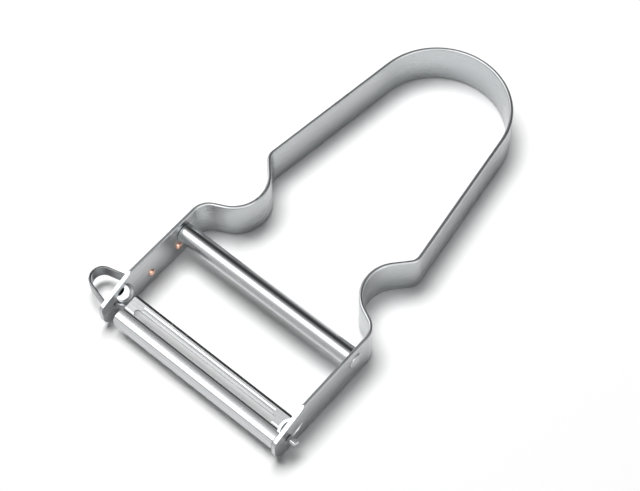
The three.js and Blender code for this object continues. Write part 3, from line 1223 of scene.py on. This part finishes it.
@dataclass
class SwivelBlade:
    """The slotted blade with ground band, rolled guide and tabs, in millimetres from the swivel axis."""

    arms: Arms
    shift: float = 0.7
    guide_end: float = 24.95
    band_ends: tuple[float, float] = (-24.45, 24.85)
    notch_front: float = -1.1
    sheet: float = 0.65
    section: tuple[Corner, ...] = (
        Corner(4.3, 1.232),
        Corner(0.35, 0.75, 0.4),
        Corner(-0.05, 0.45, 0.34),
        Corner(-0.5, 0.60, 0.36),
        Corner(-1.6, 0.64, 7.0),
        Corner(-2.85, 0.31, 0.45),
        Corner(-3.36, -0.5, 0.9),
        Corner(-3.4, -1.8, 0.4),
        Corner(-3.62, -2.35),
    )
    rear_corner: float = 0.3
    lip_corner: float = 1.0
    slot_rear: float = 1.75
    slot_front: float = -0.05
    slot_end: float = 22.0
    grind_end: float = 20.7
    grind_faces: tuple[GroundFace, ...] = (
        GroundFace(0.33, 24.0, runs_on=False),
        GroundFace(0.45, 4.6),
        GroundFace(0.6, 8.2),
    )
    grind_overrun: float = 0.5
    rear_width: float = 0.65
    rear_slope: float = math.radians(17.0)
    rear_overrun: float = 2.0
    slot_round: float = 0.48
    plane_round: float = 0.45
    plane_height: float = 2.0
    slot_cut_height: float = 10.0
    edge: float = 0.07
    tab_width: float = 1.5
    head_width: float = 1.9
    head_height: float = 0.85
    head_edge: float = 0.2
    head_twist: float = math.radians(-42.0)
    plain_tab: tuple[float, float] = (0.9, 2.6)
    loop_tab: tuple[float, float] = (0.25, 0.85)

    def at(self, x: float, y: float, z: float) -> Vector:
        """A point of the blade, from the middle of its swivel axis."""
        return self.arms.at(x + self.shift, y, z + self.arms.axis_z)

    @property
    def band_tilt(self) -> float:
        """Angle at which the rear band rises towards its rear edge."""
        rear, step = self.section[:2]
        return math.atan2(rear.v - step.v, rear.u - step.u)

    def build_sheet(self) -> Bench:
        """Bends the flat sheet along the blade's section and cuts its ends.

        Returns:
            A bench for the sheet, still without thickness.
        """
        rear = self.section[0]
        steps = bent_line(self.section)
        along, down = steps[0].move
        middle = self.at(0.0, rear.u + along / 2, rear.v + down / 2)
        size = (2 * self.guide_end * MM, math.hypot(along, down) * MM)
        bench = Bench.plane("peeler_blade", middle, size, (self.band_tilt, 0.0, 0.0))
        front = self.at(0.0, rear.u + along, 0.0).y
        bench.select_edges(lambda a, b: max(abs(a.y - front), abs(b.y - front)) < Bench.NEAR)
        for step in steps[1:]:
            if isinstance(step, Run):
                move = (0.0, step.move[0] * MM, step.move[1] * MM)
                bpy.ops.mesh.extrude_region_move(TRANSFORM_OT_translate={"value": move})
            else:
                Bench.spin(step.angle, self.at(0.0, *step.centre), (1, 0, 0))
        bpy.ops.object.mode_set(mode="OBJECT")
        self.cut_ends(bench)
        return bench

    def cut_ends(self, bench: Bench) -> None:
        """Cuts the band back at both ends and takes the sheet's corners off.

        Args:
            bench: the bent sheet.
        """
        notch = self.at(0.0, self.notch_front, 0.0)
        bench.slice(notch, Vector((0.0, 1.0, 0.0)), clear=False)
        left, right = (self.at(end, 0.0, 0.0) for end in self.band_ends)
        for line in (left, right):
            bench.slice(line, Vector((1.0, 0.0, 0.0)), clear=False)
        Bench.take(bench.piece)
        bpy.ops.object.mode_set(mode="EDIT")
        bpy.ops.mesh.select_mode(type="FACE")
        bpy.ops.mesh.select_all(action="DESELECT")
        bpy.ops.object.mode_set(mode="OBJECT")
        for face in bench.piece.data.polygons:
            outside = face.center.x < left.x or face.center.x > right.x
            face.select = outside and face.center.y > notch.y
        bpy.ops.object.mode_set(mode="EDIT")
        bpy.ops.mesh.delete(type="FACE")
        bpy.ops.object.mode_set(mode="OBJECT")
        rear = self.at(0.0, self.section[0].u, 0.0).y
        bench.clip_points(
            lambda p: max(abs(p.y - rear), min(abs(p.x - left.x), abs(p.x - right.x))) < Bench.NEAR,
            self.rear_corner * MM,
            segments=3,
        )
        lip = self.at(0.0, self.section[-1].u, 0.0).y
        ends = [self.at(sign * self.guide_end, 0.0, 0.0).x for sign in (-1, 1)]
        bench.clip_points(
            lambda p: max(abs(p.y - lip), min(abs(p.x - end) for end in ends)) < Bench.NEAR,
            self.lip_corner * MM,
            segments=3,
        )

    def slot_cutter(self) -> Bench:
        """The cutter for the slot, with round ends.

        Returns:
            The cutter.
        """
        width = self.slot_rear - self.slot_front
        middle = self.at(0.0, (self.slot_rear + self.slot_front) / 2, 0.0)
        height = self.slot_cut_height * MM
        cutter = Bench.block("cutter", middle, (2 * self.slot_end * MM, width * MM, height))
        return cutter.round_uprights(height / 2, self.slot_round * width * MM, 10).close()

    def band_top(self, y: float) -> float:
        """Height of the rear band's upper face.

        Args:
            y: where along the blade's section.

        Returns:
            The height there.
        """
        rear = self.section[0]
        half = self.sheet / 2 / math.cos(self.band_tilt)
        return rear.v - (rear.u - y) * math.tan(self.band_tilt) + half

    def planing_cutter(self, y: float, z: float, slope: float, along: float, half_length: float) -> Bench:
        """A cutter that takes off what lies above a sloping face.

        Args:
            y: where the face starts in the blade's section.
            z: its height there.
            slope: how steeply it falls, towards the front where positive, towards the rear where negative.
            along: how far it goes down its slope.
            half_length: half its length.

        Returns:
            The cutter, with rounded ends.
        """
        height = self.plane_height
        heading = -math.copysign(1.0, slope)
        steep = abs(slope)
        into = Vector((0.0, heading * math.cos(steep), -math.sin(steep))) * along / 2
        away = Vector((0.0, heading * math.sin(steep), math.cos(steep))) * height / 2
        size = (2 * half_length * MM, along * MM, height * MM)
        middle = self.at(*(Vector((0.0, y, z)) + into + away))
        cutter = Bench.block("cutter", middle, size, (slope, 0.0, 0.0))
        return cutter.round_uprights(0.75 * height * MM, self.plane_round * along * MM, 8).close()

    def grind_cutters(self) -> list[Bench]:
        """The cutters for the ground steps that thin the band down to the slot, and for the rear edge.

        Returns:
            The cutters.
        """
        cutters = []
        left = sum(face.width for face in self.grind_faces)
        y = self.slot_rear + left
        z = self.band_top(y)
        for face in self.grind_faces:
            slope = math.radians(face.fall)
            along = left + self.grind_overrun if face.runs_on else face.width / math.cos(slope)
            cutters.append(self.planing_cutter(y, z, slope, along, self.grind_end))
            y -= face.width
            z -= face.width * math.tan(slope)
            left -= face.width
        y = self.section[0].u - self.rear_width
        end = self.guide_end + self.rear_overrun
        cutters.append(self.planing_cutter(y, self.band_top(y), -self.rear_slope, self.rear_overrun, end))
        return cutters

    def tab(self, side: Side, neck: float, reach: float) -> list[Bench]:
        """One tab: a flat neck through the arm with an upset head outside it.

        Args:
            side: which arm it goes through.
            neck: where its head starts, outside the arm's outer face.
            reach: where its head ends.

        Returns:
            The neck and the head.
        """
        sign = side.value
        face = self.arms.outer - sign * self.shift
        root = min(abs(end) for end in self.band_ends) - self.tab_width / 2
        length = face + (neck + reach) / 2 - root
        neck_size = (length * MM, self.tab_width * MM, self.sheet * MM)
        flat = Bench.block("tab", self.at(sign * (root + length / 2), 0.0, 0.0), neck_size)
        head_size = ((reach - neck) * MM, self.head_width * MM, self.head_height * MM)
        middle = self.at(sign * (face + (neck + reach) / 2), 0.0, 0.0)
        head = Bench.block("tab_head", middle, head_size, (self.head_twist, 0.0, 0.0))
        head.soften(self.head_edge * MM, segments=2)
        return [flat, head]

    def build(self, finish: bpy.types.Material) -> bpy.types.Object:
        """Models the blade and dresses it.

        Args:
            finish: its metal.

        Returns:
            The finished piece.
        """
        blade = self.build_sheet().thicken(self.sheet * MM).close()
        blade.combine([self.slot_cutter(), *self.grind_cutters()], Join.CUT)
        blade.soften(self.edge * MM, segments=2, angle=40.0)
        tabs = [*self.tab(Side.PLAIN, *self.plain_tab), *self.tab(Side.LOOP, *self.loop_tab)]
        blade.combine(tabs, Join.ADD)
        return blade.shade(4.2).dress(finish, BLADE_BODY, "blade", Slot.BLADE)


@dataclass
class EyeLoop:
    """The loop for cutting out eyes and the two rivets that hold it."""

    arms: Arms
    height: float = 3.85
    thickness: float = 0.6
    rear_y: float = 7.35
    front_y: float = -1.95
    reach: float = 9.6
    nose_radius: float = 3.3
    bend_radius: float = 1.2
    seat_gap: float = 0.05
    tip_gap: float = 0.3
    edge: float = 0.25
    end_edge: float = 0.075
    end_round: float = 0.49
    rivet_diameter: float = 1.3
    rivet_head: float = 2.0
    rivet_dome: float = 0.7
    rivet_tail: float = 0.4
    rivet_gap: float = 0.03
    dome_steps: int = 8

    def corners(self) -> list[Corner]:
        """The loop's line in plan, from the end of its foot to its free tip.

        Returns:
            Its corners.
        """
        foot = -self.arms.outer - self.seat_gap - self.thickness / 2
        nose = self.nose_radius - self.thickness / 2
        nose_reach = self.reach - self.nose_radius - self.seat_gap - self.thickness / 2
        half = (self.rear_y - self.front_y) / 2
        apex = nose_apex(half, nose_reach, nose)
        tip = -self.arms.outer - self.tip_gap
        return [
            Corner(foot, self.arms.rear_rivet_y + self.height / 2),
            Corner(foot, self.rear_y, self.bend_radius),
            Corner(foot - apex, self.front_y + half, nose),
            Corner(tip, self.front_y - (tip - foot) * half / apex),
        ]

    def build_loop(self, finish: bpy.types.Material) -> bpy.types.Object:
        """Models the loop with a round end and rivet holes.

        Args:
            finish: its metal.

        Returns:
            The finished piece.
        """
        low = self.arms.loop_z - self.height / 2
        loop = Bench.bent_strip(
            "eye_cutter_loop",
            self.corners(),
            self.arms.at(0.0, 0.0, low),
            self.thickness * MM,
            self.height * MM,
            self.edge * MM,
        )
        end = self.arms.at(0.0, self.arms.rear_rivet_y + self.height / 2, 0.0).y
        back = Vector((0.0, 1.0, 0.0))
        for up in (Vector((0.0, 0.0, 1.0)), Vector((0.0, 0.0, -1.0))):
            corner = self.arms.at(0.0, 0.0, self.arms.loop_z) + up * self.height / 2 * MM
            corner.y = end
            loop.round_corner(corner, up, back, self.end_round * self.height * MM)
        loop.close().soften(self.end_edge * MM)
        holes = []
        for y in (self.arms.front_rivet_y, self.arms.rear_rivet_y):
            holes += self.arms.hole(self.arms.rivet_hole, y, self.arms.loop_z, [Side.LOOP])
        loop.combine(holes, Join.CUT)
        return loop.shade().dress(finish, HANDLE_BODY, "eye_loop", Slot.LOOP)

    def build_rivet(self, name: str, node: str, y: float, finish: bpy.types.Material) -> bpy.types.Object:
        """Models one rivet: a dome inside the arm and a flat tail on the loop's foot.

        Args:
            name: the piece's name.
            node: the solid it stands for.
            y: its place along the arm.
            finish: its metal.

        Returns:
            The finished piece.
        """
        axis = self.arms.at(0.0, y, self.arms.loop_z)
        shank = self.rivet_diameter / 2 * MM
        head = self.rivet_head / 2 * MM
        tail_x = axis.x - (self.arms.outer + self.seat_gap + self.thickness + self.rivet_gap) * MM
        head_x = axis.x - (self.arms.inner - self.rivet_gap) * MM
        tail = self.rivet_tail * MM
        dome = self.rivet_dome * MM
        profile = [
            (0.0, tail_x - tail),
            (0.75 * head, tail_x - tail),
            (0.93 * head, tail_x - 0.85 * tail),
            (head, tail_x - 0.5 * tail),
            (head, tail_x),
            (shank, tail_x),
            (shank, head_x),
            (head, head_x),
        ]
        for index in range(1, self.dome_steps + 1):
            angle = index / self.dome_steps * math.pi / 2
            profile.append((head * math.cos(angle), head_x + dome * math.sin(angle)))
        rivet = Bench.turned(name, profile, axis)
        return rivet.shade(40.0).dress(finish, HANDLE_BODY, node, Slot.RIVET)


@dataclass(frozen=True)
class Lamp:
    """A flat soft light that looks at the peeler."""

    name: str
    direction: Triple
    distance: float
    size: tuple[float, float]
    radiance: float
    reach: Reach
    shape: str = "RECTANGLE"

    def add(self) -> None:
        """Puts the light into the scene."""
        data = bpy.data.lights.new(self.name, "AREA")
        data.shape = self.shape
        data.size, data.size_y = self.size
        area = self.size[0] * self.size[1]
        if self.shape == "ELLIPSE":
            area *= math.pi / 4
        data.energy = self.radiance * math.pi * area
        lamp = bpy.data.objects.new(self.name, data)
        bpy.context.scene.collection.objects.link(lamp)
        lamp.visible_diffuse = self.reach is Reach.FLOOR
        lamp.visible_glossy = self.reach is Reach.METAL
        towards = Vector(self.direction).normalized()
        lamp.location = towards * self.distance
        lamp.rotation_euler = towards.to_track_quat("Z", "Y").to_euler()


@dataclass
class Studio:
    """The white floor, the soft lights, the surroundings and the camera."""

    floor_size: float = 4.0
    floor_white: float = 0.95
    floor_glow: float = 0.03
    fill: float = 0.06
    camera_at: Triple = (0.144593, -0.167707, 0.377456)
    camera_turn: Triple = (29.7485, 0.6988, 40.2741)
    lens: float = 98.925
    lamps: tuple[Lamp, ...] = (
        Lamp("overhead_key", (-0.27, 0.1, 0.95), 1.6, (1.1, 0.72), 15.1, Reach.FLOOR, "ELLIPSE"),
        Lamp("front_softbox", (-0.26, -0.46, 0.88), 1.0, (1.3, 0.58), 1.85, Reach.METAL),
    )
    sky: tuple[tuple[float, float], ...] = (
        (-90.0, 0.70),
        (-79.0, 0.65),
        (-60.0, 0.90),
        (-46.0, 1.25),
        (-6.0, 1.50),
        (0.0, 1.15),
        (8.0, 0.68),
        (15.5, 0.48),
        (24.0, 0.26),
        (33.0, 0.11),
        (41.0, 0.05),
        (60.0, 0.08),
        (74.0, 0.25),
        (83.0, 0.50),
        (90.0, 0.80),
    )
    side_gain: float = 2.6
    right_start: float = 0.5
    left_start: float = 0.75

    def build_floor(self) -> None:
        """Lays the white floor, which keeps the peeler's shadow."""
        Bench.clear()
        bpy.ops.mesh.primitive_plane_add(size=self.floor_size, location=(0.0, 0.0, -0.00002))
        floor = bpy.context.object
        floor.name = "floor"
        material = bpy.data.materials.new("white_floor")
        material.use_nodes = True
        graph = Graph(material.node_tree)
        seen = graph.node("ShaderNodeLightPath", output="Is Camera Ray")
        seen = seen.larger(graph.node("ShaderNodeLightPath", output="Is Glossy Ray"))
        seen = seen.larger(graph.node("ShaderNodeLightPath", output="Is Transmission Ray"))
        white = (self.floor_white, self.floor_white, self.floor_white, 1.0)
        matt = graph.node("ShaderNodeBsdfDiffuse", inputs={"Color": white})
        glow = graph.node("ShaderNodeEmission", inputs={"Color": (1.0, 1.0, 1.0, 1.0), "Strength": 1.0})
        both = graph.node("ShaderNodeMixShader", inputs={0: self.floor_glow * seen, 1: matt, 2: glow})
        graph.node("ShaderNodeOutputMaterial", inputs={"Surface": both})
        floor.data.materials.append(material)

    def build_world(self) -> None:
        """Makes the surroundings: a level for each angle from straight above, front negative."""
        world = bpy.data.worlds.new("surroundings")
        bpy.context.scene.world = world
        world.use_nodes = True
        graph = Graph(world.node_tree)
        heading = graph.node("ShaderNodeTexCoord", output="Generated")
        along = graph.node("ShaderNodeSeparateXYZ", inputs={0: heading}, output="Y")
        up = graph.node("ShaderNodeSeparateXYZ", inputs={0: heading}, output="Z")
        angle = graph.node("ShaderNodeMath", {"operation": "ARCTAN2"}, {0: along, 1: up.larger(0.0)})
        stops = [(0.5 + degrees / 180.0, level) for degrees, level in self.sky]
        level = graph.ramp(0.5 + angle * (1.0 / math.pi), stops)
        across = graph.node("ShaderNodeSeparateXYZ", inputs={0: heading}, output="X")
        right = (self.side_gain * (across - self.right_start)).larger(0.0)
        left = (self.side_gain * (-1.0 * across - self.left_start)).larger(0.0)
        seen = graph.node("ShaderNodeLightPath", output="Is Camera Ray")
        seen = seen.larger(graph.node("ShaderNodeLightPath", output="Is Glossy Ray"))
        strength = self.fill + (1.0 - self.fill) * seen
        light = level + right + left
        sky = graph.node("ShaderNodeBackground", inputs={"Color": light, "Strength": strength})
        graph.node("ShaderNodeOutputWorld", inputs={"Surface": sky})

    def build_camera(self) -> None:
        """Sets the camera at the photograph's viewing angle."""
        data = bpy.data.cameras.new("camera")
        data.lens = self.lens
        data.sensor_width = 36.0
        data.clip_start = 0.01
        camera = bpy.data.objects.new("camera", data)
        bpy.context.scene.collection.objects.link(camera)
        camera.location = self.camera_at
        camera.rotation_euler = Euler([math.radians(angle) for angle in self.camera_turn])
        bpy.context.scene.camera = camera

    def build(self) -> None:
        """Sets up everything around the peeler."""
        self.build_camera()
        self.build_floor()
        self.build_world()
        for lamp in self.lamps:
            lamp.add()
        bpy.context.scene.view_settings.view_transform = "Standard"


@dataclass
class Peeler:
    """The whole peeler, piece by piece."""

    arms: Arms
    pieces: list[bpy.types.Object] = field(default_factory=list)

    def build(self) -> None:
        """Builds all pieces in order."""
        strip_metal = STRIP_FINISH.material()
        copper = COPPER_FINISH.material()
        tube = CrossTube(self.arms)
        loop = EyeLoop(self.arms)
        self.pieces = [
            HandleBow(self.arms).build(strip_metal),
            tube.build_tube(TUBE_FINISH.material()),
            tube.build_rivet(strip_metal),
            SwivelBlade(self.arms).build(BLADE_FINISH.material()),
            loop.build_loop(LOOP_FINISH.material()),
            loop.build_rivet("front_loop_rivet", "loop_rivet_front", self.arms.front_rivet_y, copper),
            loop.build_rivet("rear_loop_rivet", "loop_rivet_rear", self.arms.rear_rivet_y, copper),
        ]


def find_origin(frame: dict[str, Any]) -> Vector:
    """Finds the middle between the arms, level with the swivel axis.

    Args:
        frame: the loaded frame.

    Returns:
        That point, on the surface the peeler lies on.
    """
    low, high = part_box("handle_bow")
    swivel = frame["record"]["behaviour"]["joints"][0]
    return Vector(((low[0] + high[0]) / 2, swivel["pos_m"][1], 0.0))


def main() -> None:
    """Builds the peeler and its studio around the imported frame."""
    logging.basicConfig(level=logging.INFO, format="%(name)s: %(message)s")
    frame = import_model()
    Bench.clear()
    Studio().build()
    Peeler(Arms(find_origin(frame))).build()


if __name__ == "__main__":
    main()
